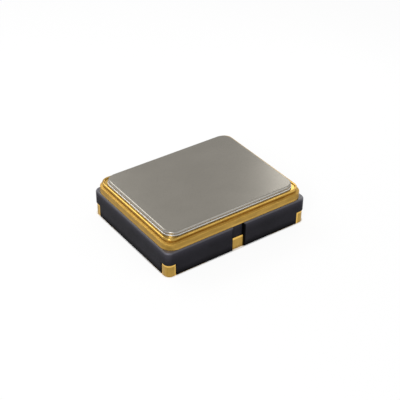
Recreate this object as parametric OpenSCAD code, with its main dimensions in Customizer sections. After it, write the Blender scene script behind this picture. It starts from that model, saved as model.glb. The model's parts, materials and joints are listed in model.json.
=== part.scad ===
// Surface-mount crystal oscillator in a six-terminal ceramic package, in millimetres.
// X runs along the package, Y across it and Z up. The origin is on the soldering plane, under
// the middle of the package. Terminal 1 is at the -X, -Y corner, and the numbers run
// counter-clockwise seen from above.

/* [Package] */
// Length of the package
package_l = 2.5; // [2.4:0.05:3.2]
// Width of the package
package_w = 2.0; // [1.9:0.05:2.5]
// Height of the ceramic base
base_h = 0.408; // [0.36:0.01:0.5]
// Radius of the upright corners of the base
corner_r = 0.1; // [0.07:0.01:0.14]
// Rounding of the top edge of the base
base_edge = 0.025; // [0.015:0.005:0.04]

/* [Cavity] */
// Thickness of the ceramic wall round the cavity
wall_t = 0.29; // [0.26:0.01:0.31]
// Radius of the upright corners of the cavity
cavity_r = 0.1; // [0.05:0.01:0.15]
// Thickness of the ceramic floor under the die
floor_t = 0.1; // [0.08:0.01:0.11]
// Depth of the well that holds the die, below the bond ledge
well_depth = 0.09; // [0.08:0.005:0.1]
// Clearance between the die and the walls of its well
well_clearance = 0.08; // [0.05:0.01:0.1]
// Length of the bond ledge between the crystal shelf and the die well
ledge_l = 0.33; // [0.3:0.01:0.36]
// Radius of the upright corners of the die well
well_r = 0.06; // [0.02:0.01:0.1]
// Height of the crystal shelf above the bond ledge
shelf_h = 0.11; // [0.1:0.01:0.13]
// Length of the crystal shelf
shelf_l = 0.25; // [0.22:0.01:0.26]

/* [Terminals] */
// Thickness of the printed metal under the base
pad_t = 0.012; // [0.01:0.002:0.03]
// Length of a corner pad, along the package
corner_pad_l = 0.68; // [0.66:0.01:0.75]
// Length of a middle pad, along the package
middle_pad_l = 0.4; // [0.3:0.01:0.5]
// Reach of every pad in from the long side
pad_w = 0.65; // [0.55:0.01:0.75]
// Bevel that marks the pad of terminal 1
index_bevel = 0.12; // [0.05:0.01:0.2]
// Height to which the metal climbs the sides of the base
side_h = 0.197; // [0.12:0.01:0.26]
// Thickness of the metal on the sides of the base
side_t = 0.02; // [0.015:0.005:0.03]
// How far the corner metal lies below the ceramic round it
side_recess = 0.01; // [0.005:0.005:0.02]
// Reach of the corner metal from the corner of the package
corner_reach = 0.16; // [0.15:0.01:0.25]
// Width of the groove in the middle of each long side
groove_w = 0.206; // [0.12:0.01:0.3]
// Depth of that groove
groove_d = 0.05; // [0.045:0.005:0.08]
// Radius of the plating in the inner corners of that groove
groove_fill = 0.02; // [0.01:0.005:0.03]
// Diameter of the metal-filled holes through the base
via_d = 0.07; // [0.05:0.01:0.08]

/* [Seal ring and lid] */
// Thickness of the braze under the seal ring
braze_t = 0.012; // [0.008:0.002:0.02]
// Height of the braze collar round the seal ring
collar_h = 0.105; // [0.06:0.005:0.12]
// Height of the slope that runs from the collar up to the seal ring
collar_slope = 0.01; // [0.005:0.005:0.03]
// Rounding of the collar's top edge
collar_edge = 0.012; // [0.004:0.002:0.014]
// Distance of the seal ring from the sides of the package
ring_inset = 0.067; // [0.06:0.001:0.08]
// Height of the seal ring up to the lid's seat
ring_h = 0.143; // [0.135:0.01:0.3]
// Radius of the seal ring's outer corners
ring_r = 0.145; // [0.1:0.005:0.25]
// How far the ring's opening is set back from the edge of the cavity
ring_setback = 0.02; // [0:0.005:0.04]
// Radius of the rounded bead along the ring's top edge
bead_r = 0.02; // [0.012:0.002:0.024]
// How far the bead stands out past the side of the ring
bead_out = 0.009; // [0.003:0.001:0.01]
// How far the bead rises above the lid's seat
bead_rise = 0.018; // [0.008:0.002:0.02]
// Gap between the bead and the lid
lid_gap = 0.012; // [0.006:0.002:0.02]
// Radius of the lid's corners, at its flange
lid_r = 0.185; // [0.13:0.005:0.25]
// Thickness of the lid
lid_t = 0.075; // [0.06:0.005:0.12]
// Thickness of the flange round the lid
flange_t = 0.022; // [0.01:0.002:0.03]
// Width of the flange round the lid
flange_w = 0.012; // [0.006:0.002:0.03]
// Rounding of the lid's top edge
lid_edge = 0.025; // [0.01:0.005:0.03]

/* [Die and wires] */
// Length of the integrated circuit die
die_l = 0.84; // [0.76:0.02:0.88]
// Width of the die
die_w = 0.64; // [0.56:0.02:0.66]
// Thickness of the die
die_t = 0.09; // [0.06:0.005:0.1]
// Thickness of the adhesive under the die
attach_t = 0.01; // [0.006:0.002:0.02]
// Distance between neighbouring bonds along the die
die_pitch = 0.32; // [0.26:0.01:0.34]
// Distance between the two crystal bonds on the die
crystal_bond_gap = 0.24; // [0.16:0.01:0.3]
// Distance of the bonds from the edge of the die
bond_margin = 0.06; // [0.04:0.01:0.08]
// Radius of a bond wire
wire_r = 0.009; // [0.006:0.001:0.012]
// Height of a wire loop over its ends
loop_h = 0.07; // [0.05:0.005:0.08]
// Radius of the ball bonds and stitch bonds
bond_r = 0.028; // [0.022:0.002:0.034]
// Height of the ball bonds and stitch bonds
bond_h = 0.02; // [0.02:0.002:0.03]

/* [Leads] */
// Thickness of the plated leads inside the cavity
lead_t = 0.01; // [0.006:0.002:0.014]
// Width of a lead on the bond ledge
lead_w = 0.14; // [0.1:0.01:0.18]
// Gap between a lead and the edge of the die well
lead_gap = 0.04; // [0.02:0.01:0.05]
// Gap between a lead and the wall of the cavity
lead_end_gap = 0.05; // [0.03:0.01:0.07]
// Distance between the two crystal mounting pads
mount_pitch = 0.56; // [0.5:0.02:0.64]
// Length of a crystal mounting pad
mount_l = 0.18; // [0.17:0.01:0.2]
// Width of a crystal mounting pad
mount_w = 0.24; // [0.18:0.01:0.26]
// Width of the track from a mounting pad to the bond ledge
track_w = 0.1; // [0.06:0.01:0.12]
// Length of that track on the bond ledge
track_l = 0.23; // [0.2:0.01:0.25]

/* [Crystal] */
// Gap between the free end of the quartz blank and the wall of the cavity
blank_end_gap = 0.285; // [0.2:0.005:0.4]
// Width of the blank
blank_w = 0.95; // [0.8:0.05:1.2]
// Thickness of the quartz blank
blank_t = 0.035; // [0.025:0.005:0.06]
// Overhang of the blank past the middle of its mounting pads
blank_overhang = 0.09; // [0.085:0.005:0.1]
// Margin of bare quartz at each end of an electrode
electrode_end_margin = 0.325; // [0.25:0.005:0.4]
// Margin of bare quartz at each side of an electrode
electrode_side_margin = 0.125; // [0.1:0.005:0.2]
// Thickness of the electrode films
electrode_t = 0.005; // [0.004:0.001:0.008]
// Width of the electrode tabs
tab_w = 0.14; // [0.1:0.01:0.18]
// Radius of a dot of conductive adhesive at its waist
dot_r = 0.08; // [0.06:0.005:0.085]
// Height of a dot of conductive adhesive
dot_h = 0.03; // [0.02:0.005:0.04]

/* [Hidden] */
$fn = 48;

// Slack by which a cut runs past the surface it opens
cut = 0.1;

// Levels, from the soldering plane up
base_top = pad_t + base_h;
floor_z = pad_t + floor_t;
ledge_z = floor_z + well_depth;
shelf_z = ledge_z + shelf_h;
die_top = floor_z + attach_t + die_t;
lead_top = ledge_z + lead_t;
dot_z = shelf_z + lead_t;
blank_z = dot_z + dot_h + electrode_t;
ring_z = base_top + braze_t;
seat_z = ring_z + ring_h;

// Outlines in plan
cavity_l = package_l - 2 * wall_t;
cavity_w = package_w - 2 * wall_t;
ring_l = package_l - 2 * ring_inset;
ring_w = package_w - 2 * ring_inset;
opening_l = cavity_l + 2 * ring_setback;
opening_w = cavity_w + 2 * ring_setback;
bead_inset = bead_r - bead_out;
lid_inset = bead_inset + bead_r + lid_gap;
lid_l = ring_l - 2 * lid_inset;
lid_w = ring_w - 2 * lid_inset;
// The braze collar reaches out to where the base's rounded edge begins
collar_out = ring_inset - base_edge;
side_depth = side_recess + side_t;

// The die well and the leads beside it
well_l = die_l + 2 * well_clearance;
well_w = die_w + 2 * well_clearance;
shelf_x = shelf_l - cavity_l / 2;
well_x = shelf_x + ledge_l + well_l / 2;
lead_l = cavity_w / 2 - lead_end_gap - well_w / 2 - lead_gap;
lead_y = well_w / 2 + lead_gap + lead_l / 2;

// The crystal over them
mount_x = shelf_x - shelf_l / 2;
blank_end = mount_x - blank_overhang;
blank_l = cavity_l / 2 - blank_end_gap - blank_end;
blank_x = blank_end + blank_l / 2;
electrode_l = blank_l - 2 * electrode_end_margin;
electrode_w = blank_w - 2 * electrode_side_margin;

// Holes, bonds and tracks
via_y = lead_y + lead_l / 2 - lead_w / 2;
via_x = package_l / 2 - corner_pad_l + via_d / 2 + (lead_w - via_d) / 4;
stitch_in = bond_r + lead_gap / 4;
track_y = (mount_pitch - mount_w + track_w) / 2;
track_end = shelf_x + track_l;

// The top electrode leaves the blank on this side of the middle, and the bottom one on the other
side_of_top = 1;

// Side of the package on which terminal i lies: [-1, 0 or 1 along X, -1 or 1 along Y]
function pin_side(i) = [[-1, -1], [0, -1], [1, -1], [1, 1], [0, 1], [-1, 1]][i - 1];

// Where the bond of wire i lands on the die; wires 7 and 8 serve the crystal
function die_bond(i) = i <= 6
    ? [well_x + pin_side(i)[0] * die_pitch, pin_side(i)[1] * (die_w / 2 - bond_margin), die_top]
    : [well_x - die_l / 2 + bond_margin, (2 * i - 15) * crystal_bond_gap / 2, die_top];

// Where the same wire lands on its lead
function lead_bond(i) = i <= 6
    ? [pin_side(i)[0] * via_x, pin_side(i)[1] * (lead_y - lead_l / 2 + stitch_in), lead_top]
    : [track_end - stitch_in, (2 * i - 15) * track_y, lead_top];

module rounded_rect(l, w, r) {
    square([l - 2 * r, w], center = true);
    square([l, w - 2 * r], center = true);
    for (x = [-1, 1], y = [-1, 1]) translate([x * (l / 2 - r), y * (w / 2 - r)]) circle(r);
}

// Carries a flat profile once round a rounded rectangle. The profile's X points outwards from the
// outline and its Y points up.
module around(l, w, r) {
    for (turn = [0, 180]) rotate([0, 0, turn]) {
        translate([l / 2, w / 2 - r, 0]) rotate([90, 0, 0]) linear_extrude(w - 2 * r) children();
        translate([l / 2 - r, w / 2 - r, 0]) rotate_extrude(angle = 90) translate([r, 0]) children();
        translate([l / 2 - r, w / 2, 0]) rotate([90, 0, -90]) linear_extrude(l - 2 * r) mirror([1, 0])
            children();
        translate([r - l / 2, w / 2 - r, 0]) rotate([0, 0, 90]) rotate_extrude(angle = 90)
            translate([r, 0]) children();
    }
}

// A rounded plate whose top edge is rounded by edge
module plate(l, w, r, h, edge) {
    linear_extrude(h - edge) rounded_rect(l, w, r);
    linear_extrude(h) rounded_rect(l - 2 * edge, w - 2 * edge, r - edge);
    translate([0, 0, h - edge]) around(l - 2 * edge, w - 2 * edge, r - edge) intersection() {
        circle(edge);
        square(edge);
    }
}

// The part of an outline that lies near the four corners of the package
module near_corners() {
    intersection() {
        children();
        for (x = [-1, 1], y = [-1, 1])
            translate([x * package_l / 2, y * package_w / 2]) square(2 * corner_reach, center = true);
    }
}

module package_outline(inset) {
    rounded_rect(package_l - 2 * inset, package_w - 2 * inset, corner_r - inset);
}

// The base is fired as one piece from stacked ceramic sheets. Its cavity steps down from the
// crystal shelf to the bond ledge and the die well.
module ceramic_base() {
    color("#302e33") difference() {
        translate([0, 0, pad_t]) plate(package_l, package_w, corner_r, base_h, base_edge);
        cavity();
        corner_pockets();
        for (y = [-1, 1]) translate([0, y * package_w / 2, base_top / 2])
            cube([groove_w, 2 * groove_d, base_top + 2 * cut], center = true);
        for (i = [1:6]) via_of(i, pad_t - cut, ledge_z + cut);
    }
}

module cavity() {
    translate([0, 0, shelf_z]) linear_extrude(base_h) rounded_rect(cavity_l, cavity_w, cavity_r);
    translate([0, 0, ledge_z]) linear_extrude(base_h) intersection() {
        rounded_rect(cavity_l, cavity_w, cavity_r);
        translate([shelf_x, -cavity_w]) square([cavity_l, 2 * cavity_w]);
    }
    translate([well_x, 0, floor_z]) linear_extrude(base_h) rounded_rect(well_l, well_w, well_r);
}

module corner_pockets() {
    translate([0, 0, pad_t - cut]) linear_extrude(side_h - pad_t + cut) near_corners() difference() {
        package_outline(-cut / 2);
        package_outline(side_depth);
    }
}

module via_of(i, from_z, to_z) {
    translate([pin_side(i)[0] * via_x, pin_side(i)[1] * via_y, from_z])
        cylinder(d = via_d, h = to_z - from_z);
}

// A terminal is one printed and plated conductor: a soldering pad under the base and a patch that
// climbs its corner or its groove.
module terminal(i) {
    side = pin_side(i);
    color("#c9983f") mirror([side[0] < 0 ? 1 : 0, 0, 0]) mirror([0, side[1] < 0 ? 1 : 0, 0])
        if (side[0] == 0) middle_terminal(); else corner_terminal(i == 1 ? index_bevel : 0);
}

module corner_terminal(bevel) {
    pad_x = package_l / 2 - corner_pad_l;
    pad_y = package_w / 2 - pad_w;
    linear_extrude(pad_t) difference() {
        intersection() {
            package_outline(side_recess);
            translate([pad_x, pad_y]) square([corner_pad_l, pad_w]);
        }
        if (bevel > 0) polygon([[pad_x, pad_y], [pad_x + bevel, pad_y], [pad_x, pad_y + bevel]]);
    }
    linear_extrude(side_h) intersection() {
        difference() {
            package_outline(side_recess);
            package_outline(side_depth);
        }
        translate([package_l / 2 - corner_reach, package_w / 2 - corner_reach]) square(corner_reach);
    }
}

module middle_terminal() {
    inner_y = package_w / 2 - pad_w;
    groove_y = package_w / 2 - groove_d;
    translate([-middle_pad_l / 2, inner_y, 0]) cube([middle_pad_l, groove_y - inner_y, pad_t]);
    translate([0, groove_y, 0]) linear_extrude(side_h) groove_metal();
}

// Plating on the floor of a groove, with a hollow rounding against each wall
module groove_metal() {
    translate([-groove_w / 2, 0]) square([groove_w, side_t]);
    for (x = [-1, 1]) mirror([x < 0 ? 1 : 0, 0]) translate([groove_w / 2 - groove_fill, side_t])
        difference() {
            square(groove_fill);
            translate([0, groove_fill]) circle(groove_fill);
        }
}

// A lead carries a terminal up through the base to its bond finger on the ledge
module lead(i) {
    color("#d6a94e") {
        via_of(i, pad_t, ledge_z);
        translate([pin_side(i)[0] * via_x, pin_side(i)[1] * lead_y, ledge_z + lead_t / 2])
            cube([lead_w, lead_l, lead_t], center = true);
    }
}

// A crystal lead is one metal film: the mounting pad on the shelf, the track down the step and
// the bond finger on the ledge.
module crystal_lead(side) {
    color("#d6a94e") {
        translate([mount_x - mount_l / 2, side * mount_pitch / 2 - mount_w / 2, shelf_z])
            cube([mount_l, mount_w, lead_t]);
        translate([mount_x, side * track_y - track_w / 2, shelf_z])
            cube([shelf_l / 2 + lead_t, track_w, lead_t]);
        translate([shelf_x, side * track_y - track_w / 2, ledge_z]) cube([lead_t, track_w, shelf_h]);
        translate([shelf_x, side * track_y - track_w / 2, ledge_z]) cube([track_l, track_w, lead_t]);
    }
}

// Braze that joins the ring to the base: a sheet under the ring and a collar round its foot
module braze_collar() {
    color("#b98b3a") translate([0, 0, base_top]) {
        linear_extrude(braze_t) difference() {
            rounded_rect(ring_l, ring_w, ring_r);
            rounded_rect(opening_l, opening_w, cavity_r + ring_setback);
        }
        around(ring_l, ring_w, ring_r) collar_profile();
    }
}

module collar_profile() {
    polygon([[0, 0], [collar_out, 0], [collar_out, collar_h - collar_edge],
             [collar_out - collar_edge, collar_h], [0, collar_h + collar_slope]]);
    translate([collar_out - collar_edge, collar_h - collar_edge]) circle(collar_edge);
}

module seal_ring() {
    color("#d2a243") {
        translate([0, 0, ring_z]) linear_extrude(ring_h) difference() {
            rounded_rect(ring_l, ring_w, ring_r);
            rounded_rect(opening_l, opening_w, cavity_r + ring_setback);
        }
        translate([0, 0, seat_z + bead_rise - bead_r])
            around(ring_l - 2 * bead_inset, ring_w - 2 * bead_inset, ring_r - bead_inset)
                circle(bead_r);
    }
}

module lid() {
    color("#8c8881") translate([0, 0, seat_z]) {
        linear_extrude(flange_t) rounded_rect(lid_l, lid_w, lid_r);
        plate(lid_l - 2 * flange_w, lid_w - 2 * flange_w, lid_r - flange_w, lid_t, lid_edge);
    }
}

module die_attach() {
    color("#b9bcc0") translate([well_x - die_l / 2, -die_w / 2, floor_z]) cube([die_l, die_w, attach_t]);
}

module ic_die() {
    color("#4d5560") translate([well_x - die_l / 2, -die_w / 2, floor_z + attach_t])
        cube([die_l, die_w, die_t]);
}

// A wire leaves its ball bond on the die and falls in one arc to the stitch bond on its lead
module bond_wire(i) {
    lift = [0, 0, bond_h / 2];
    from = die_bond(i) + lift;
    span = lead_bond(i) + lift - from;
    flat = norm([span[0], span[1]]);
    chord = norm(span);
    half = 2 * atan(2 * loop_h / chord);
    arc_r = chord / 2 / sin(half);
    color("#e3b653") {
        translate(die_bond(i)) cylinder(r = bond_r, h = bond_h);
        translate(lead_bond(i)) cylinder(r = bond_r, h = bond_h);
        translate(from + span / 2) rotate([0, -atan2(span[2], flat), atan2(span[1], span[0])])
            translate([0, 0, loop_h - arc_r]) rotate([90, 0, 0]) rotate([0, 0, 90 - half])
                rotate_extrude(angle = 2 * half) translate([arc_r, 0]) circle(wire_r);
    }
}

module crystal_blank() {
    color("#dfe8ea") translate([blank_x, 0, blank_z + blank_t / 2])
        cube([blank_l, blank_w, blank_t], center = true);
}

// The film of one electrode and its tab to the held end of the blank, lying on Z = 0
module electrode_film(side) {
    translate([-electrode_l / 2, -electrode_w / 2, 0]) cube([electrode_l, electrode_w, electrode_t]);
    translate([-blank_l / 2, side * mount_pitch / 2 - tab_w / 2, 0])
        cube([(blank_l - electrode_l) / 2 + tab_w / 2, tab_w, electrode_t]);
}

// The top electrode's tab folds over the end of the blank and reaches its own dot of adhesive
module electrode_top() {
    fold = side_of_top * mount_pitch / 2 - tab_w / 2;
    color("#dcdad2") {
        translate([blank_x, 0, blank_z + blank_t]) electrode_film(side_of_top);
        translate([blank_x - blank_l / 2 - electrode_t, fold, blank_z - electrode_t])
            cube([electrode_t, tab_w, blank_t + 2 * electrode_t]);
        translate([blank_x - blank_l / 2 - electrode_t, fold, blank_z - electrode_t])
            cube([blank_overhang + dot_r + electrode_t, tab_w, electrode_t]);
    }
}

module electrode_bottom() {
    color("#d3d1c8") translate([blank_x, 0, blank_z - electrode_t]) electrode_film(-side_of_top);
}

// A squeezed dot of silver-filled adhesive, with a bulging side
module adhesive_dot(side) {
    color("#c4c6c8") translate([mount_x, side * mount_pitch / 2, dot_z]) rotate_extrude()
        intersection() {
            union() {
                square([dot_r - dot_h / 2, dot_h]);
                translate([dot_r - dot_h / 2, dot_h / 2]) circle(dot_h / 2);
            }
            square([dot_r, dot_h]);
        }
}

ceramic_base();
braze_collar();
seal_ring();
lid();
die_attach();
ic_die();
crystal_blank();
electrode_top();
electrode_bottom();
adhesive_dot(-1);  // adhesive_dot_1
adhesive_dot(1);  // adhesive_dot_2
crystal_lead(-1);  // crystal_lead_1
crystal_lead(1);  // crystal_lead_2
for (i = [1:6]) terminal(i);
for (i = [1:6]) lead(i);
for (i = [1:8]) bond_wire(i);
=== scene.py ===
"""Dresses the crystal oscillator: finer outer pieces, the finish of every piece, and a plain studio.

Lengths inside the shape functions are in millimetres and become metres when a mesh is made. The
object stands as in the frame: X along the package, Y across it, Z up, with terminal 1 at -X, -Y.
"""
import json
import math
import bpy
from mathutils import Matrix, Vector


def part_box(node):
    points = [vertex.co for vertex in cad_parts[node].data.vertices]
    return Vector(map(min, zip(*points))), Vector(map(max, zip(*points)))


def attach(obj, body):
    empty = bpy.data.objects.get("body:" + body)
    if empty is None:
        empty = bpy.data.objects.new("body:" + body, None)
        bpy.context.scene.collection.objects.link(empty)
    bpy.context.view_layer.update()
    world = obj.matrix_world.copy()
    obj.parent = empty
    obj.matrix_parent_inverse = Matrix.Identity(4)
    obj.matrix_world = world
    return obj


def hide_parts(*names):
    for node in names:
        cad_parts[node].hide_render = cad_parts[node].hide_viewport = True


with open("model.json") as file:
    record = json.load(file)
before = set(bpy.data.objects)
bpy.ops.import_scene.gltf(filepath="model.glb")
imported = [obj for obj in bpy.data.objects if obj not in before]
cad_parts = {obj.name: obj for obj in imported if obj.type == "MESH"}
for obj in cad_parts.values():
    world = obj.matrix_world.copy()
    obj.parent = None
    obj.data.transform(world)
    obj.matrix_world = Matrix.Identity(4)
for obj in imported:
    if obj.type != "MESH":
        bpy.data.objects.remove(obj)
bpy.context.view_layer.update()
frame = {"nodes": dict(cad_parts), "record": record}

from types import SimpleNamespace

import bmesh
import bpy
import numpy as np
from bpy.props import FloatProperty, FloatVectorProperty, PointerProperty
from mathutils import Matrix, Vector

bl_info = {
    "name": "Crystal oscillator dresser",
    "version": (1, 0, 0),
    "blender": (4, 5, 0),
    "location": "View3D > Sidebar > Oscillator",
    "description": "Builds the visible pieces, finishes and stage of a ceramic crystal oscillator",
    "category": "Object",
}

MM = 0.001
MERGED = 2e-5 * MM  # points closer than this become one
ROOT = "root"


def to_linear(hex_colour):
    """The linear red, green and blue of an sRGB hex colour."""
    srgb = np.array([int(hex_colour[i:i + 2], 16) for i in (1, 3, 5)]) / 255
    low = srgb / 12.92
    high = ((srgb + 0.055) / 1.055) ** 2.4
    return tuple(np.where(srgb <= 0.04045, low, high))


def node_plan(node):
    """The length and width of a node of the frame, in millimetres."""
    return np.array([(high - low) / MM for low, high in zip(*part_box(node))][:2])


def node_middle(node):
    """Where the middle of a node lies along X, in millimetres."""
    low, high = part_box(node)
    return (low.x + high.x) / 2 / MM


def node_heights(node):
    """The heights of a node's underside and top, in millimetres."""
    low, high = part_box(node)
    return low.z / MM, high.z / MM


def length_property(name, description, millimetres, least=0.0):
    """A length with its default and its least value given in millimetres."""
    return FloatProperty(name=name, description=description, default=millimetres * MM,
                         min=least * MM, unit="LENGTH", precision=6)


def angle_property(name, description, degrees):
    """An angle with its default given in degrees."""
    return FloatProperty(name=name, description=description, default=math.radians(degrees),
                         subtype="ANGLE")


def colour_property(name, description, hex_colour):
    """A colour with its default given as an sRGB hex value."""
    return FloatVectorProperty(name=name, description=description, default=to_linear(hex_colour),
                               min=0.0, max=1.0, size=3, subtype="COLOR")


class BaseSizes(bpy.types.PropertyGroup):
    """Sizes of the ceramic base and its terminals."""
    corner_radius: length_property("Corner radius", "Radius of the upright corners", 0.1)
    top_edge: length_property("Top edge", "Rounding of the top edge", 0.025)
    arris: length_property("Arris", "Rounding of the edges of pockets and grooves", 0.014)
    groove_width: length_property("Groove width", "Width of the groove in each long side", 0.206)
    groove_depth: length_property("Groove depth", "Depth of that groove", 0.05)
    corner_reach: length_property("Corner reach", "Reach of the metal round a corner", 0.16)
    # Painted shade: the ceramic is painted dark in this band along its foot
    foot_shade_band: length_property("Foot band", "Height of the dull band along the foot", 0.11)
    side_height: length_property("Side height", "Height of the metal on the sides",
                                 node_heights("terminal_1")[1])
    side_thickness: length_property("Side metal", "Thickness of the metal on the sides", 0.02)
    side_recess: length_property("Side recess", "Depth of the corner metal below the ceramic", 0.01)
    pad_thickness: length_property("Pad thickness", "Thickness of the metal under the base",
                                   node_heights("ceramic_base")[0])
    pad_width: length_property("Pad width", "Reach of every pad in from the long side", 0.65)
    corner_pad: length_property("Corner pad", "Length of a corner pad", 0.68)
    middle_pad: length_property("Middle pad", "Length of a middle pad", node_plan("terminal_2")[0])
    index_bevel: length_property("Index bevel", "Bevel on the pad of terminal 1", 0.12)
    groove_fill: length_property("Groove plating", "Radius of the plating in the groove", 0.02)
    pillow: length_property("Pillow", "Width over which the metal falls off to its edges", 0.03)
    pillow_drop: length_property("Pillow drop", "How far the metal falls off there", 0.008)


class CavitySizes(bpy.types.PropertyGroup):
    """Sizes of the stepped cavity."""
    wall: length_property("Wall", "Thickness of the wall round the cavity", 0.29)
    corner_radius: length_property("Corner radius", "Radius of the cavity's corners", 0.1)
    shelf_length: length_property("Shelf length", "Length of the crystal shelf", 0.25)
    shelf_height: length_property("Shelf height", "Height of that shelf above the ledge", 0.11)
    well_clearance: length_property("Well clearance", "Space round the die in its well", 0.08)
    well_radius: length_property("Well radius", "Radius of the corners of the well", 0.06)


class RingSizes(bpy.types.PropertyGroup):
    """Sizes of the braze collar, the seal ring and the lid."""
    radius: length_property("Ring radius", "Radius of the ring's outer corners", 0.145)
    setback: length_property("Setback", "Setback of the opening from the cavity", 0.02)
    braze: length_property("Braze", "Thickness of the braze under the ring", 0.012)
    collar_height: length_property("Collar height", "Height of the collar", 0.105)
    collar_slope: length_property("Collar slope", "Height of the slope above the collar", 0.01)
    # Painted highlight: the paler line along the collar's foot
    foot_highlight: length_property("Pale foot", "Height of the paler line along the collar's foot", 0.045)
    collar_edge: length_property("Collar edge", "Rounding of the collar's top edge", 0.012)
    bead_radius: length_property("Bead radius", "Radius of the bead along the ring", 0.02)
    bead_out: length_property("Bead reach", "How far the bead stands out", 0.009)
    lid_radius: length_property("Lid radius", "Radius of the lid's corners", 0.185)
    flange_thickness: length_property("Flange", "Thickness of the lid's flange", 0.022)
    flange_width: length_property("Flange width", "Width of the lid's flange", 0.012)
    lid_edge: length_property("Lid edge", "Rounding of the lid's top edge", 0.025)


class Finishes(bpy.types.PropertyGroup):
    """Colours of the finishes."""
    alumina: colour_property("Alumina", "Black alumina", "#1D1C21")
    # Painted highlight: the paler colour of the ceramic's rounded top edge and upright corners
    highlighted_edge: colour_property("Worn edge", "Black alumina where its edge is worn", "#46454C")
    gold: colour_property("Gold", "Gold plate", "#B4924A")
    nickel: colour_property("Nickel", "Nickel plate", "#7F7B73")
    # Painted light: the paler nickel of the lid's flange and the wall above it
    flange_light: colour_property("Bright nickel", "Nickel plate on the flange", "#B6B6B4")
    silver: colour_property("Silver", "Evaporated silver", "#DAD8D2")
    adhesive: colour_property("Adhesive", "Silver-filled adhesive", "#B9BBBE")
    silicon: colour_property("Silicon", "Polished silicon", "#5A6270")
    quartz: colour_property("Quartz", "Polished quartz", "#F1F6F7")
    floor: colour_property("Floor", "Studio floor", "#F4F4F4")


class CameraSizes(bpy.types.PropertyGroup):
    """Where the camera stands."""
    azimuth: angle_property("Azimuth", "Angle of the camera from +X", -125.57)
    elevation: angle_property("Elevation", "Angle of the camera above the floor", 34.84)
    roll: angle_property("Roll", "Turn of the camera about its own view", 0.66)
    distance: length_property("Distance", "Distance of the camera from the origin's plane", 16.195)
    across: length_property("Across", "Place of the origin right of the middle", -0.0143, least=-1)
    up: length_property("Up", "Place of the origin above the middle", -0.2408, least=-1)
    lens: FloatProperty(name="Lens", description="Focal length on a 36 mm sensor", default=95.67,
                        unit="CAMERA")


def group(name):
    """One of the scene's property groups."""
    return getattr(bpy.context.scene, name)


def in_mm(name):
    """The lengths of a property group, in millimetres."""
    settings = group(name)
    return SimpleNamespace(**{key: getattr(settings, key) / MM for key in GROUPS[name].__annotations__})


def package():
    """Length, width and height of the package, in millimetres."""
    return *node_plan("ceramic_base"), node_heights("ceramic_base")[1]


# Shapes

# Signs of x and y at the four corners, counter-clockwise
CORNER_SIGNS = np.array([[1, 1], [-1, 1], [-1, -1], [1, -1]])


def outline_columns(long_places, short_places, steps):
    """Places round a rounded rectangle, counter-clockwise from its +X, +Y corner.

    Each corner is a quarter turn of the normal in equal steps. Each side has places at given
    shares of the way from one corner's centre to the next, with the normal standing still.
    """
    corner, share, angle = [], [], []
    for i, side in enumerate([long_places, short_places] * 2):
        turn = np.linspace(0, 90, steps + 1) + 90 * i
        corner.append(np.full(len(turn) + len(side), i))
        share.append(np.concatenate([np.zeros(len(turn)), side]))
        angle.append(np.concatenate([turn, np.full(len(side), 90 * (i + 1))]))
    angle = np.radians(np.concatenate(angle))
    return {"corner": np.concatenate(corner), "share": np.concatenate(share),
            "normal": np.stack([np.cos(angle), np.sin(angle)], 1)}


def rounded_rows(columns, middle, length, width, radius, z, inset=0.0, far_radius=None):
    """Rows of points round rounded rectangles, one row for each value given.

    A corner's centre lies one radius in from both sides. A point is the blend of its corner's
    centre and the next one's by its share, plus the radius, less the inset, along its normal.
    far_radius is the radius of the two corners at -X, where it differs.
    """
    def column(values):
        return np.atleast_1d(np.asarray(values, float)).reshape(-1, 1)

    middle, length, width, near, z = map(column, (middle, length, width, radius, z))
    far = near if far_radius is None else column(far_radius)

    def centre(corner):
        sign = CORNER_SIGNS[corner]
        own = np.where(sign[:, 0] > 0, near, far)
        return (middle + sign[:, 0] * (length / 2 - own), sign[:, 1] * (width / 2 - own), own)

    ax, ay, ar = centre(columns["corner"])
    bx, by, br = centre((columns["corner"] + 1) % 4)
    share = columns["share"]
    out = (1 - share) * ar + share * br - inset
    x = (1 - share) * ax + share * bx + out * columns["normal"][:, 0]
    y = (1 - share) * ay + share * by + out * columns["normal"][:, 1]
    return np.stack(np.broadcast_arrays(x, y, z), 2)


def rounded_profile(corners, radii, steps=8):
    """A polyline whose inner corners are rounded, as an array of points.

    Each corner is replaced by an arc of its radius that touches both legs: it starts and ends
    radius times the tangent of half the turn away from the corner. Beside each arc a point lies
    a tenth of the radius further along the leg, which keeps the shading of flats flat.
    """
    corners = np.asarray(corners, float)
    points = [corners[0]]
    for before, corner, after, radius in zip(corners[:-2], corners[1:-1], corners[2:], radii):
        into = (corner - before) / np.linalg.norm(corner - before)
        away = (after - corner) / np.linalg.norm(after - corner)
        cross = into[0] * away[1] - into[1] * away[0]
        turn = math.atan2(cross, float(into @ away))
        if radius == 0:
            points.append(corner)
            continue
        reach = radius * math.tan(abs(turn) / 2)
        side = np.array([-into[1], into[0]]) * math.copysign(1, turn)
        centre = corner - into * reach + side * radius
        angles = np.linspace(0, turn, steps + 1)[:, None]
        spoke = -side * radius
        arc = centre + np.cos(angles) * spoke + np.sin(angles) * np.array([-spoke[1], spoke[0]])
        points += [corner - into * (reach + radius / 10), *arc, corner + away * (reach + radius / 10)]
    points.append(corners[-1])
    return np.array(points)


def step_profile(depth, soft, steps=4):
    """How a recess begins: places along the surface, and how deep each lies.

    The outer edge is a quarter circle of radius soft, the wall is upright, and a quarter circle
    of half that radius leads to the floor. Places run from outside to inside, with the wall at 0.
    """
    turn = np.linspace(0, math.pi / 2, steps + 1)
    inner = soft / 2
    place = np.concatenate([[-2 * soft], -soft * (1 - np.sin(turn)),
                            inner * (1 - np.cos(turn)), [2 * inner]])
    below = np.concatenate([[0], soft * (1 - np.cos(turn)), depth - inner * (1 - np.sin(turn)), [depth]])
    return place, below


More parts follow.
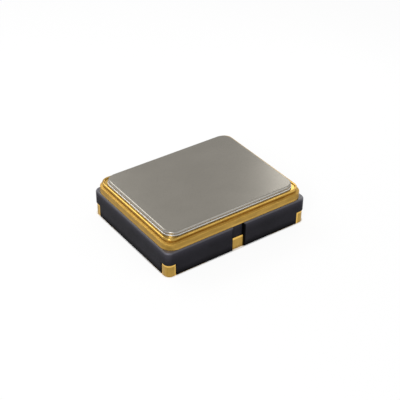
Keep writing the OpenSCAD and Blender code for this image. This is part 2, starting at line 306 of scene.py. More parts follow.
def fine_mesh(name, grid, start=None, end=None, loop=False, sharp=None, rim=None):
    """A closed piece from a grid of points in millimetres: rows go up the outside, columns
    counter-clockwise round it.

    Neighbouring points make four-sided faces. start and end are points that close the first and
    the last row with a fan, and loop joins the last row to the first instead. Points that fall
    together are merged, so no face without area is left. rim gives each point of the grid a
    value that the material reads: 1 where a highlight is painted, 0 on the plain face, -1 where
    shade is painted.
    """
    rows, columns = grid.shape[:2]
    index = np.arange(rows * columns).reshape(rows, columns)
    beside = np.roll(index, -1, 1)
    quads = np.stack([index, beside, np.roll(beside, -1, 0), np.roll(index, -1, 0)], 2)
    faces = quads[:rows if loop else rows - 1].reshape(-1, 4).tolist()
    points = [grid.reshape(-1, 3)]
    for pole, edge in ((start, index[0, ::-1]), (end, index[-1])):
        if pole is not None:
            total = sum(map(len, points))
            points.append(np.atleast_2d(pole))
            faces += np.stack([np.full(columns, total), edge, np.roll(edge, -1)], 1).tolist()
    points = np.concatenate(points)
    if rim is not None:
        rim = np.concatenate([rim.reshape(-1), np.zeros(len(points) - rim.size)])
    return piece_from(name, points, faces, sharp, rim)


def piece_from(name, points, faces, sharp=None, rim=None):
    """An object at the origin from points in millimetres and lists of corners."""
    mesh = bpy.data.meshes.new(name)
    mesh.from_pydata((points * MM).tolist(), [], faces)
    if rim is not None:
        mesh.attributes.new("rim", "FLOAT", "POINT").data.foreach_set("value", rim.astype(np.float32))
    work = bmesh.new()
    work.from_mesh(mesh)
    bmesh.ops.remove_doubles(work, verts=work.verts, dist=MERGED)
    bmesh.ops.dissolve_degenerate(work, edges=work.edges, dist=MERGED)
    work.to_mesh(mesh)
    work.free()
    mesh.polygons.foreach_set("use_smooth", np.ones(len(mesh.polygons), bool))
    if sharp is not None:
        mesh.set_sharp_from_angle(angle=math.radians(sharp))
    mesh.update()
    made = bpy.data.objects.new(name, mesh)
    bpy.context.scene.collection.objects.link(made)
    return made


def dress(piece, material, node):
    """Gives a new piece its finish and puts it in place of its node."""
    piece.data.materials.append(material)
    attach(piece, ROOT)
    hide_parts(node)


# Finishes

# Settings of a node that mixes two colours, and of one that multiplies them
MIXED = {"data_type": "RGBA"}
MULTIPLIED = {"data_type": "RGBA", "blend_type": "MULTIPLY"}


def per_mm(size):
    """The scale of a pattern whose features measure size millimetres."""
    return 1 / (size * MM)


def add(tree, kind, settings=None, out=0, **inputs):
    """Adds a node with its settings and links, and gives one of its outputs.

    An input is named, or numbered after an underscore, and takes a value or another output. A
    colour needs no alpha.
    """
    node = tree.nodes.new("ShaderNode" + kind)
    for key, value in (settings or {}).items():
        setattr(node, key, value)
    for key, value in inputs.items():
        socket = node.inputs[int(key[1:]) if key[1:].isdigit() else key.replace("_", " ")]
        if isinstance(value, bpy.types.NodeSocket):
            tree.links.new(value, socket)
        elif socket.type == "RGBA":
            socket.default_value = (*value[:3], 1)
        else:
            socket.default_value = value
    return node.outputs[out] if len(node.outputs) else None


def new_material(name):
    """A material with an empty tree, and that tree."""
    material = bpy.data.materials.new(name)
    material.use_nodes = True
    material.node_tree.nodes.clear()
    return material, material.node_tree


def finished(material, **inputs):
    """A material with a shader that has these inputs."""
    shader = add(material.node_tree, "BsdfPrincipled", **inputs)
    add(material.node_tree, "OutputMaterial", Surface=shader)
    return material


def pattern(tree, size, stretch=(1, 1, 1), detail=3.0, low=0.35, high=0.65):
    """Noise on Object coordinates whose features measure size millimetres, longer by stretch
    along each axis. Gives the noise, and its part from low to high as a share from 0 to 1."""
    place = add(tree, "TexCoord", out="Object")
    mapped = add(tree, "Mapping", Vector=place, Scale=[per_mm(size) / s for s in stretch])
    noise = add(tree, "TexNoise", Vector=mapped, Scale=1.0, Detail=detail, Roughness=0.6)
    return noise, add(tree, "MapRange", Value=noise, From_Min=low, From_Max=high)


def shade(colour, factor):
    """A linear colour made lighter or darker."""
    return tuple(min(1.0, c * factor) for c in colour)


def black_alumina():
    """As-fired black alumina. Sintered grains of a few micrometres give it a dull, faintly
    violet sheen; they are drawn at 0.012 mm so that they show. The faces are painted paler
    towards the top, a painted light. The rounded top edge, which tumbling has rubbed smooth, is
    less rough and shinier, and it is painted paler still, a painted highlight that draws a fine
    light line. Each upright corner is painted a shade paler towards its top, where |x| + |y|
    comes near its greatest, and brighter still at its lip: painted highlights. The foot and the
    edges of the grooves are painted dark, a painted shade that draws their outlines."""
    material, tree = new_material("black_alumina_as_fired")
    colour, highlighted = group("finishes").alumina, group("finishes").highlighted_edge
    sizes = group("base_sizes")
    foot, top = (height * MM for height in node_heights("ceramic_base"))
    place = add(tree, "TexCoord", out="Object")
    height = add(tree, "SeparateXYZ", out="Z", Vector=place)
    # Painted highlight along the rounded top edge, which is also less rough and shinier there
    edge = add(tree, "MapRange", Value=height, From_Min=top - sizes.top_edge * 1.1, From_Max=top)
    # Painted light: the faces grow paler towards the top, as the cube of the share from mid-height
    painted_top_light = add(tree, "MapRange", Value=height, From_Min=(foot + top) / 2, From_Max=top)
    painted_top_light = add(tree, "Math", {"operation": "POWER"}, _0=painted_top_light, _1=3.0)
    beside = add(tree, "VectorMath", {"operation": "ABSOLUTE"}, _0=place)
    both = add(tree, "VectorMath", {"operation": "DOT_PRODUCT"}, "Value", _0=beside, _1=(1, 1, 0))
    reach = node_plan("ceramic_base").sum() / 2 * MM
    # Painted highlight down each upright corner, growing towards its top
    paler = add(tree, "MapRange", Value=height, From_Min=top / 2, From_Max=top, To_Max=0.55)
    corner = add(tree, "MapRange", Value=both, From_Min=reach - sizes.corner_radius,
                 From_Max=reach - sizes.corner_radius * 0.6, To_Max=paler)
    along = add(tree, "SeparateXYZ", out="X", Vector=beside)
    # Painted shade along both edges of each groove
    off_wall = add(tree, "Math", {"operation": "SUBTRACT"}, _0=along, _1=sizes.groove_width / 2)
    off_wall = add(tree, "Math", {"operation": "ABSOLUTE"}, _0=off_wall)
    off_arris = add(tree, "MapRange", Value=off_wall, From_Min=sizes.arris * 0.9,
                    From_Max=sizes.arris * 1.5)
    # Painted shade along the foot
    above_foot = add(tree, "MapRange", Value=height, From_Min=foot + sizes.arris,
                     From_Max=foot + sizes.foot_shade_band)
    plain = add(tree, "Math", {"operation": "MULTIPLY"}, _0=above_foot, _1=off_arris)
    grain, grains = pattern(tree, 0.012, detail=4)
    _, cloud = pattern(tree, 0.3, detail=2)
    flat = add(tree, "Mix", MIXED, 2, _0=cloud, _6=shade(colour, 0.85), _7=shade(colour, 1.15))
    flat = add(tree, "Mix", MIXED, 2, _0=painted_top_light, _6=flat, _7=shade(colour, 3.4))
    # Where painted shade falls, at the foot and by the grooves, the colour drops to a fifth
    flat = add(tree, "Mix", MIXED, 2, _0=plain, _6=shade(colour, 0.2), _7=flat)
    flat = add(tree, "Mix", MIXED, 2, _0=corner, _6=flat, _7=highlighted)
    # The lip of each upright corner gets a brighter painted glint
    lip = add(tree, "Mix", MIXED, 2, _0=corner, _6=highlighted, _7=shade(highlighted, 4.0))
    rough = add(tree, "MapRange", Value=grains, To_Min=0.5, To_Max=0.6)
    sheen = add(tree, "MapRange", Value=plain, To_Min=0.02, To_Max=0.06)
    return finished(material, Base_Color=add(tree, "Mix", MIXED, 2, _0=edge, _6=flat, _7=lip),
                    Roughness=add(tree, "MapRange", Value=edge, To_Min=rough, To_Max=0.34),
                    Specular_IOR_Level=add(tree, "MapRange", Value=edge, To_Min=sheen, To_Max=0.5),
                    Normal=add(tree, "Bump", Height=grain, Distance=0.0014 * MM))


def gold_plate(name, streak, size=0.018, roughness=0.32, hatch=None, rim=False, foot=None):
    """Electroplated gold over nickel. It takes on the drawn or printed texture beneath it, so it
    is satin, with streaks along the way the metal was worked and, where it was punched, a fine
    hatching across them. With rim, the plate is painted brighter near its rim, a painted
    highlight, and painted dark where it meets the ceramic in a crevice, a painted shade. foot
    gives two heights in millimetres between which a paler line fades out along the braze's foot,
    a painted highlight."""
    material, tree = new_material(name)
    colour = group("finishes").gold
    depth = 0.0006 * MM
    streaks, streaked = pattern(tree, size, streak, low=0.3, high=0.6)
    _, cloud = pattern(tree, 0.15, detail=2)
    tone = add(tree, "Mix", MIXED, 2, _0=cloud, _6=shade(colour, 0.94), _7=shade(colour, 1.05))
    drawn = add(tree, "Mix", MIXED, 2, _0=streaked, _6=(0.8, 0.76, 0.68), _7=(1, 1, 1))
    tone = add(tree, "Mix", MULTIPLIED, 2, _0=1.0, _6=tone, _7=drawn)
    normal = add(tree, "Bump", Height=streaks, Distance=depth)
    if hatch is not None:
        lines, hatched = pattern(tree, size, hatch, detail=1, high=0.6)
        punched = add(tree, "Mix", MIXED, 2, _0=hatched, _6=(0.88, 0.86, 0.8), _7=(1, 1, 1))
        tone = add(tree, "Mix", MULTIPLIED, 2, _0=1.0, _6=tone, _7=punched)
        normal = add(tree, "Bump", Height=lines, Distance=depth, Normal=normal)
    if foot is not None:
        # A painted highlight along the foot
        height = add(tree, "SeparateXYZ", out="Z", Vector=add(tree, "TexCoord", out="Object"))
        low = add(tree, "MapRange", Value=height, From_Min=foot[1] * MM, From_Max=foot[0] * MM)
        tone = add(tree, "Mix", MIXED, 2, _0=low, _6=tone, _7=shade(colour, 1.25))
    if rim:
        # Painted highlight where the rim value is above zero, and painted shade where it is below zero
        share = add(tree, "Attribute", {"attribute_name": "rim"}, "Fac")
        bright = add(tree, "MapRange", Value=share, From_Min=0.02, From_Max=0.25)
        crevice_shade = add(tree, "MapRange", Value=share, From_Min=-0.05, From_Max=-0.5)
        tone = add(tree, "Mix", MIXED, 2, _0=bright, _6=tone, _7=shade(colour, 1.7))
        tone = add(tree, "Mix", MIXED, 2, _0=crevice_shade, _6=tone, _7=shade(colour, 0.04))
    rough = add(tree, "MapRange", Value=streaks, From_Min=0.35, From_Max=0.65,
                To_Min=roughness - 0.05, To_Max=roughness + 0.06)
    return finished(material, Base_Color=tone, Metallic=1.0, Roughness=rough, Normal=normal)


def nickel_lid():
    """Matt nickel plate on a stamped lid. Its fine even grain spreads reflections into a soft
    sheen; the grain is drawn at 0.01 mm so that it shows. The flange and the wall above it are
    duller, because nothing rubs them smooth, and painted paler, a painted light."""
    material, tree = new_material("matt_nickel_plate")
    colour, pale = group("finishes").nickel, group("finishes").flange_light
    height = add(tree, "SeparateXYZ", out="Z", Vector=add(tree, "TexCoord", out="Object"))
    top, edge = node_heights("lid")[1] * MM, group("ring_sizes").lid_edge
    # upper is 0 on the flange and the wall, where the nickel is painted paler as light
    upper = add(tree, "MapRange", Value=height, From_Min=top - edge, From_Max=top - edge / 4)
    grain, grains = pattern(tree, 0.01)
    _, cloud = pattern(tree, 0.4, (1.6, 1, 1), detail=2)
    tone = add(tree, "Mix", MIXED, 2, _0=cloud, _6=shade(colour, 0.97), _7=shade(colour, 1.03))
    matt = add(tree, "MapRange", Value=grains, To_Min=0.27, To_Max=0.33)
    return finished(material, Base_Color=add(tree, "Mix", MIXED, 2, _0=upper, _6=pale, _7=tone),
                    Metallic=1.0, Roughness=add(tree, "MapRange", Value=upper, To_Min=0.4, To_Max=matt),
                    Normal=add(tree, "Bump", Height=grain, Distance=0.0001 * MM))


def grained_metal(name, colour, grain_size, shades, roughness, metallic=1.0, depth=0.0):
    """A metal with a fine grain of the given size in its colour and roughness, each between two
    limits, and with depth also in its relief."""
    material, tree = new_material(name)
    grain, grains = pattern(tree, grain_size, detail=4 if depth else 3)
    low, high = (shade(colour, factor) for factor in shades)
    rough = add(tree, "MapRange", Value=grains, To_Min=roughness[0], To_Max=roughness[1])
    relief = {"Normal": add(tree, "Bump", Height=grain, Distance=depth * MM)} if depth else {}
    return finished(material, Base_Color=add(tree, "Mix", MIXED, 2, _0=grains, _6=low, _7=high),
                    Metallic=metallic, Roughness=rough, **relief)


def quartz_blank():
    """Polished quartz, clear, with the last trace of its lapping in the roughness."""
    material, tree = new_material("polished_quartz")
    _, lapping = pattern(tree, 0.01)
    rough = add(tree, "MapRange", Value=lapping, To_Min=0.03, To_Max=0.09)
    return finished(material, Base_Color=group("finishes").quartz, IOR=1.54, Transmission_Weight=0.85,
                    Roughness=rough)


def silicon_die():
    """Polished silicon under clear passivation, with the blocks of its circuit just showing."""
    material, tree = new_material("polished_silicon")
    colour = group("finishes").silicon
    block = (0.11, 0.08, 1.0)
    mapped = add(tree, "Mapping", Vector=add(tree, "TexCoord", out="Object"),
                 Scale=[per_mm(size) for size in block])
    blocks = add(tree, "TexVoronoi", {"distance": "CHEBYCHEV"}, "Color", Vector=mapped, Scale=1.0)
    level = add(tree, "SeparateColor", Color=blocks)
    tone = add(tree, "Mix", MIXED, 2, _0=level, _6=shade(colour, 0.7), _7=shade(colour, 1.3))
    rough = add(tree, "MapRange", Value=level, To_Min=0.12, To_Max=0.22)
    return finished(material, Base_Color=tone, Metallic=0.7, Coat_Weight=0.5, Roughness=rough)


# Pieces

class OSCILLATOR_OT_ceramic_base(bpy.types.Operator):
    """Builds the ceramic base: a rounded block with corner pockets, grooves and a stepped cavity"""
    bl_idname = "oscillator.ceramic_base"
    bl_label = "Ceramic base"

    def execute(self, context):
        sizes = in_mm("base_sizes")
        columns, groove, pocket = base_columns(sizes)
        grid = np.concatenate([base_sides(columns, groove, pocket, sizes), cavity_rows(columns)])
        bottom = (0, 0, sizes.pad_thickness)
        floor = (node_middle("ic_die"), 0, node_heights("die_attach")[0])
        piece = fine_mesh("ceramic_base_body", grid, start=bottom, end=floor, sharp=50)
        dress(piece, black_alumina(), "ceramic_base")
        return {"FINISHED"}


def base_columns(sizes):
    """Columns round the base, and how deep the groove and the pockets are at each."""
    length, width, _ = package()
    radius = sizes.corner_radius
    soft = sizes.arris
    depth = sizes.side_recess + sizes.side_thickness
    reach = sizes.corner_reach - radius
    pocket_place, pocket_below = step_profile(depth, soft)
    groove_place, groove_below = step_profile(sizes.groove_depth, soft)

    def side(run, groove_half):
        """Places along one side of the given run, with their groove and pocket depths.

        Plain places begin a little way past the steps of a pocket, before a groove and in it.
        """
        past_pocket, before_groove, in_groove = 0.05, 0.04, 0.02
        first, last = reach + past_pocket, run - reach - past_pocket
        edge = run / 2 - groove_half
        middle = [(np.linspace(first, edge - before_groove, 10), 0),
                  (edge + groove_place, groove_below),
                  (np.linspace(edge + in_groove, run - edge - in_groove, 6), groove_below[-1]),
                  (run - edge - groove_place[::-1], groove_below[::-1]),
                  (np.linspace(run - edge + before_groove, last, 10), 0)]
        if not groove_half:
            middle = [(np.linspace(first, last, 20), 0)]
        parts = [(reach - pocket_place[::-1], 0, pocket_below[::-1]),
                 *((place, below, 0) for place, below in middle),
                 (run - reach + pocket_place, 0, pocket_below)]
        place, groove, pocket = zip(*(np.broadcast_arrays(*part) for part in parts))
        return np.concatenate(place) / run, np.concatenate(groove), np.concatenate(pocket)

    steps = 20
    long_side = side(length - 2 * radius, sizes.groove_width / 2)
    short_side = side(width - 2 * radius, 0)
    columns = outline_columns(long_side[0], short_side[0], steps)
    corner_groove, corner_pocket = np.zeros(steps + 1), np.full(steps + 1, depth)
    groove = np.concatenate([corner_groove, long_side[1], corner_groove, short_side[1]] * 2)
    pocket = np.concatenate([corner_pocket, long_side[2], corner_pocket, short_side[2]] * 2)
    return columns, groove, pocket


def base_sides(columns, groove, pocket, sizes):
    """Rows from the underside up over the top edge of the base.

    Each point lies inside the plain block by the largest of three depths: the rounding of the
    edge at its height, the groove at its column, and the pocket, which is the lesser of the
    pocket's depth at its column and at its height.
    """
    length, width, top = package()
    soft = sizes.arris
    low = sizes.pad_thickness
    depth = sizes.side_recess + sizes.side_thickness
    clear = 0.01
    past_groove = sizes.groove_depth + clear
    profile = rounded_profile([(past_groove, low), (0, low), (0, top), (past_groove, top)],
                              [soft / 2, sizes.top_edge], steps=10)
    place, below = step_profile(depth, soft)
    split = int(np.argmax(profile[:, 1] > (low + top) / 2))
    inset = np.concatenate([profile[:split, 0], np.zeros(len(place)), profile[split:, 0]])
    z = np.concatenate([profile[:split, 1], (sizes.side_height - place)[::-1], profile[split:, 1]])
    pocket_at = np.concatenate([np.full(split, depth), below[::-1], np.zeros(len(profile) - split)])
    depth_here = np.maximum(groove[None, :], np.minimum(pocket[None, :], pocket_at[:, None]))
    total = np.maximum(inset[:, None], depth_here)
    return rounded_rows(columns, 0, length, width, sizes.corner_radius, z, inset=total)


def cavity_rows(columns):
    """Rows from the top face down the steps of the cavity to the floor of the die well."""
    cavity = in_mm("cavity_sizes")
    length, width, top = package()
    radius, well_r = cavity.corner_radius, cavity.well_radius
    inner_l, inner_w = length - 2 * cavity.wall, width - 2 * cavity.wall
    shelf_x = cavity.shelf_length - inner_l / 2
    ledge_l = inner_l / 2 - shelf_x
    ledge_x = shelf_x + ledge_l / 2
    well_l, well_w = node_plan("ic_die") + 2 * cavity.well_clearance
    well_x = node_middle("ic_die")
    floor = node_heights("die_attach")[0]
    ledge = node_heights("crystal_lead_1")[0]
    shelf = ledge + cavity.shelf_height
    # Middle along X, length, width, radius, height, and the radius of the corners at -X
    *rows, far_radius = np.transpose([
        (0, inner_l, inner_w, radius, top, radius),
        (0, inner_l, inner_w, radius, shelf, radius),
        (ledge_x, ledge_l, inner_w, radius, shelf, 0),
        (ledge_x, ledge_l, inner_w, radius, ledge, 0),
        (well_x, well_l, well_w, well_r, ledge, well_r),
        (well_x, well_l, well_w, well_r, floor, well_r),
    ])
    return rounded_rows(columns, *rows, far_radius=far_radius)


def plain_columns(long_count=24, short_count=20, steps=24):
    """Columns round a rounded rectangle with evenly spaced places along its sides."""
    places = [np.linspace(0, 1, count + 2)[1:-1] for count in (long_count, short_count)]
    return outline_columns(*places, steps)


def ring_outline():
    """Length and width of the seal ring's sides, in millimetres."""
    return node_plan("seal_ring") - 2 * in_mm("ring_sizes").bead_out


def ring_rows(columns, out, z):
    """Rows that lie a distance out from the ring's sides."""
    length, width = ring_outline()
    out = np.asarray(out, float)
    radius = in_mm("ring_sizes").radius
    return rounded_rows(columns, 0, length + 2 * out, width + 2 * out, radius + out, z)


def opening_rows(columns, z):
    """Rows round the opening of the ring."""
    length, width, _ = package()
    cavity = in_mm("cavity_sizes")
    setback = in_mm("ring_sizes").setback
    inset = cavity.wall - setback
    return rounded_rows(columns, 0, length - 2 * inset, width - 2 * inset,
                        cavity.corner_radius + setback, z)


class OSCILLATOR_OT_braze_collar(bpy.types.Operator):
    """Builds the braze: a sheet under the ring and a collar with a rounded shoulder round it"""
    bl_idname = "oscillator.braze_collar"
    bl_label = "Braze collar"

    def execute(self, context):
        sizes = in_mm("ring_sizes")
        bottom = node_heights("braze_collar")[0]
        out = (node_plan("braze_collar")[0] - ring_outline()[0]) / 2
        height, edge = sizes.collar_height, sizes.collar_edge
        under_ring = bottom + sizes.braze
        foot_edge, shoulder = 0.003, edge * 0.98
        profile = rounded_profile([(0, 0), (out, 0), (out, height), (out - edge, height),
                                   (0, height + sizes.collar_slope)], [foot_edge, shoulder, 0])
        columns = plain_columns()
        grid = np.concatenate([ring_rows(columns, profile[:, 0], bottom + profile[:, 1]),
                               ring_rows(columns, 0, under_ring),
                               opening_rows(columns, [under_ring, bottom])])
        piece = fine_mesh("braze_collar_plated", grid, loop=True, sharp=60)
        # The paler line along the collar's foot is a painted highlight
        plate = gold_plate("gold_plate_on_braze", (14, 14, 1), roughness=0.54, hatch=(14, 1, 5),
                           foot=(bottom + sizes.foot_highlight / 2, bottom + sizes.foot_highlight))
        dress(piece, plate, "braze_collar")
        return {"FINISHED"}


class OSCILLATOR_OT_seal_ring(bpy.types.Operator):
    """Builds the seal ring: an upright wall with a round bead along its top and a flat seat"""
    bl_idname = "oscillator.seal_ring"
    bl_label = "Seal ring"

    def execute(self, context):
        sizes = in_mm("ring_sizes")
        bottom, top = node_heights("seal_ring")
        seat = node_heights("lid")[0]
        radius = sizes.bead_radius
        middle = sizes.bead_out - radius
        centre = top - radius
        start = -math.acos(-middle / radius)
        finish = math.pi - math.asin((seat - centre) / radius)
        turn = np.linspace(start, finish, 33)
        out = np.concatenate([[0, 0], middle + radius * np.cos(turn)])
        under_bead = 0.002
        z = np.concatenate([[bottom, centre + radius * math.sin(start) - under_bead],
                            centre + radius * np.sin(turn)])
        columns = plain_columns()
        grid = np.concatenate([ring_rows(columns, out, z), opening_rows(columns, [seat, bottom])])
        piece = fine_mesh("seal_ring_plated", grid, loop=True, sharp=40)
        plate = gold_plate("gold_plate_on_ring", (14, 14, 1), roughness=0.2, hatch=(14, 1, 5))
        dress(piece, plate, "seal_ring")
        return {"FINISHED"}


class OSCILLATOR_OT_lid(bpy.types.Operator):
    """Builds the lid: a flat plate with a rounded top edge, on a thin flange"""
    bl_idname = "oscillator.lid"
    bl_label = "Lid"

    def execute(self, context):
        sizes = in_mm("ring_sizes")
        bottom, top = node_heights("lid")
        length, width = node_plan("lid")
        step, flange = sizes.flange_width, sizes.flange_thickness
        border = 0.08
        inner = step + border
        lower_edge, upper_edge, root = 0.003, 0.006, 0.0055
        profile = rounded_profile([(inner, bottom), (0, bottom), (0, bottom + flange),
                                   (step, bottom + flange), (step, top), (inner, top)],
                                  [lower_edge, upper_edge, root, sizes.lid_edge], steps=10)
        inset = profile[:, 0]
        grid = rounded_rows(plain_columns(), 0, length - 2 * inset, width - 2 * inset,
                            sizes.lid_radius - inset, profile[:, 1])
        piece = fine_mesh("lid_plated", grid, start=(0, 0, bottom), end=(0, 0, top))
        dress(piece, nickel_lid(), "lid")
        return {"FINISHED"}


class OSCILLATOR_OT_terminals(bpy.types.Operator):
    """Builds the six terminals: a pad under the base and the metal that climbs a corner or a groove"""
    bl_idname = "oscillator.terminals"
    bl_label = "Terminals"

    def execute(self, context):
        sizes = in_mm("base_sizes")
        material = gold_plate("gold_plate_on_terminal", (1, 1, 6), rim=True)
        for i, side in enumerate(TERMINAL_SIDES, 1):
            bevel = sizes.index_bevel if i == 1 else 0
            shape = corner_metal(sizes, bevel) if side[0] else middle_metal(sizes)
            grid, pole, rim = terminal_grid(sizes, *shape)
            mirror = np.array([side[0] or 1, side[1], 1])
            grid = grid * mirror
            if mirror.prod() < 0:
                grid, rim = grid[:, ::-1], rim[:, ::-1]
            piece = fine_mesh(f"terminal_{i}_plated", grid, start=pole * mirror, sharp=50, rim=rim)
            dress(piece, material, f"terminal_{i}")
        return {"FINISHED"}


# Side of the package on which each terminal lies, along X and Y
TERMINAL_SIDES = [(-1, -1), (0, -1), (1, -1), (1, 1), (0, 1), (-1, 1)]


def spread_over(corners, count):
    """Points spread along a polyline, with one at each of its corners."""
    corners = np.asarray(corners, float)
    along = np.concatenate([[0], np.cumsum(np.linalg.norm(np.diff(corners, axis=0), axis=1))])
    places = np.round(along / along[-1] * (count - 1))
    return np.stack([np.interp(np.arange(count), places, line) for line in corners.T], 1)


def corner_metal(sizes, bevel):
    """Outer and inner path of a corner's metal, the distance to its ends, its pad, and that no
    shade is painted on it.

    The outer path runs straight, round the corner and straight again, at the recess below the
    ceramic. The inner path lies one thickness deeper.
    """
    length, width, _ = package()
    recess = sizes.side_recess
    radius = sizes.corner_radius - recess
    x, y = length / 2 - recess, width / 2 - recess
    straight = sizes.corner_reach - recess - radius
    near = sizes.pillow * (1 - np.cos(np.linspace(0, math.pi / 2, 8)))
    before_bend = 0.01
    before = np.concatenate([near, [straight - before_bend]])
    turn = np.linspace(0, math.pi / 2, 21)
    angle = np.concatenate([np.zeros(len(before)), turn, np.full(len(before), math.pi / 2)])
    travel = np.concatenate([before - straight, np.zeros(len(turn)), (straight - before)[::-1]])
    normal = np.stack([np.cos(angle), np.sin(angle)], 1)
    along = np.stack([-np.sin(angle), np.cos(angle)], 1)
    outer = np.array([x - radius, y - radius]) + radius * normal + travel[:, None] * along
    to_end = np.concatenate([before, np.full(len(turn), straight), before[::-1]])
    inner = outer - sizes.side_thickness * normal
    pad_x = length / 2 - sizes.corner_pad
    pad_y = width / 2 - sizes.pad_width
    pad = [outer[-1], (pad_x, y), (pad_x, pad_y + bevel), (pad_x + bevel, pad_y), (x, pad_y), outer[0]]
    return outer, inner, normal, to_end, spread_over(pad, len(outer)), np.zeros(len(outer), bool)


def middle_metal(sizes):
    """Outer and inner path of the metal in a groove, the distance to its ends, which are too far
    to matter, its pad, and where shade is painted on it.

    The metal lies on the floor of the groove, with a hollow quarter circle against each wall;
    next to each wall the plate is painted dark, a painted shade.
    """
    _, width, _ = package()
    half = sizes.groove_width / 2
    floor = width / 2 - sizes.groove_depth
    face = floor + sizes.side_thickness
    fill, crevice_share = sizes.groove_fill, 0.6
    turn = np.linspace(0, math.pi / 2, 11)
    hollow = np.stack([half - fill + fill * np.cos(turn), face + fill - fill * np.sin(turn)], 1)
    right = np.concatenate([[(half, floor)], hollow, [(half - 2 * fill, face)]])
    outer = np.concatenate([right, right[::-1] * (-1, 1)])
    inner = outer * (1, 0) + (0, floor)
    normal = np.tile([0.0, 1.0], (len(outer), 1))
    reach = sizes.middle_pad / 2
    pad_y = width / 2 - sizes.pad_width
    pad = [outer[-1], (-reach, floor), (-reach, pad_y), (reach, pad_y), (reach, floor), outer[0]]
    # Painted shade on the metal next to each wall of the groove
    crevice_shade = np.abs(outer[:, 0]) > half - fill * crevice_share
    return outer, inner, normal, np.full(len(outer), np.inf), spread_over(pad, len(outer)), crevice_shade


def terminal_grid(sizes, outer, inner, normal, to_end, pad, crevice_shade):
    """Rows of a terminal from the soldering face up, the pole that closes that face, and where
    a highlight or shade is painted on the metal.

    The first half of the columns follows the outer path, and the second half the rest of the pad
    and then the inner path. The outer face falls off near its ends and its top by
    drop (1 - sqrt(1 - (1 - u)^2)), where u is the distance from the edge over the pillow's width.
    """
    thick = sizes.pad_thickness
    top = sizes.side_height
    pillow = sizes.pillow
    below_top = pillow * (1 - np.cos(np.linspace(math.pi / 2, 0, 8)))
    above_pad = 0.04
    heights = np.concatenate([[0, thick, above_pad], top - below_top])
    nearest = np.minimum(to_end[None, :], (top - heights)[:, None])
    share = np.clip(nearest / pillow, 0, 1)
    # Painted highlight: 1 at the outer face's ends and top, fading out over the pillow's width
    rim = np.concatenate([1 - share, np.zeros_like(share)], 1)
    fall = sizes.pillow_drop * (1 - np.sqrt(1 - (1 - share) ** 2))
    faces = outer[None] - fall[..., None] * normal[None]

    def row(first, second, z):
        plan = np.concatenate([first, second])
        return np.column_stack([plan, np.full(len(plan), z)])

    middle = (faces[-1] + inner) / 2
    rows = [row(inner, pad, 0), row(faces[0], pad, 0), row(faces[1], pad, thick)]
    rows += [row(face, inner[::-1], z) for face, z in zip(faces[1:], heights[1:])]
    rows.append(row(middle, middle[::-1], top))
    rim = np.concatenate([rim[:1], rim[:1], rim[1:2], rim[1:], rim[-1:]])
    # Painted shade: -1 on the pad's top where it meets the ceramic, and next to the groove walls
    rim[2, len(outer):] = -1
    rim[2:, np.flatnonzero(crevice_shade)] = -1
    return np.array(rows), np.array([*pad.mean(0), 0]), rim


class OSCILLATOR_OT_inner_pieces(bpy.types.Operator):
    """Gives the pieces inside the cavity their finishes"""
    bl_idname = "oscillator.inner_pieces"
    bl_label = "Inner pieces"

    def execute(self, context):
        finishes = group("finishes")
        even = (0.94, 1.04)
        by_slot = {
            "gold_plated_lead": gold_plate("gold_plate_on_tungsten", (1, 1, 1), size=0.01),
            # Drawn wire and evaporated film are bright, with only a breath of grain
            "gold_wire": grained_metal("drawn_gold_wire", finishes.gold, 0.01, even, (0.17, 0.24)),
            "silver_film": grained_metal("evaporated_silver", finishes.silver, 0.02, even,
                                         (0.153, 0.216)),
            # Silver flakes a few micrometres wide make the epoxy dull and speckled
            "silver_adhesive": grained_metal("silver_filled_epoxy", finishes.adhesive, 0.008,
                                             (0.75, 1.1), (0.4, 0.6), metallic=0.6, depth=0.002),
            "quartz": quartz_blank(),
            "silicon": silicon_die(),
        }
        for part in frame["record"]["subparts"]:
            material = by_slot.get(part["material_slot"])
            if material is not None:
                mesh = frame["nodes"][part["node"]].data
                mesh.materials.clear()
                mesh.materials.append(material)
        return {"FINISHED"}


# Stage

# Each lamp: name, direction from the object, distance and side in millimetres, radiance
LAMPS = [
    ("lamp_behind_left", (-0.20, 0.67, 0.72), 10.0, (8.0, 3.0), 4.4),
    ("lamp_front_right", (0.50, -0.55, 0.60), 12.0, (6.0, 6.0), 1.5),
    ("lamp_front", (-0.62, -0.44, 0.56), 14.0, (4.0, 4.0), 14.0),
    ("lamp_behind_right", (0.82, 0.42, 0.58), 7.0, (2.4, 2.4), 2.9),
]


class OSCILLATOR_OT_stage(bpy.types.Operator):
    """Sets the floor, the soft lamps, the world and the camera"""
    bl_idname = "oscillator.stage"
    bl_label = "Stage"

    def execute(self, context):
        make_floor()
        make_world()
        for lamp in LAMPS:
            make_lamp(*lamp)
        make_camera()
        context.scene.view_settings.view_transform = "Standard"
        return {"FINISHED"}


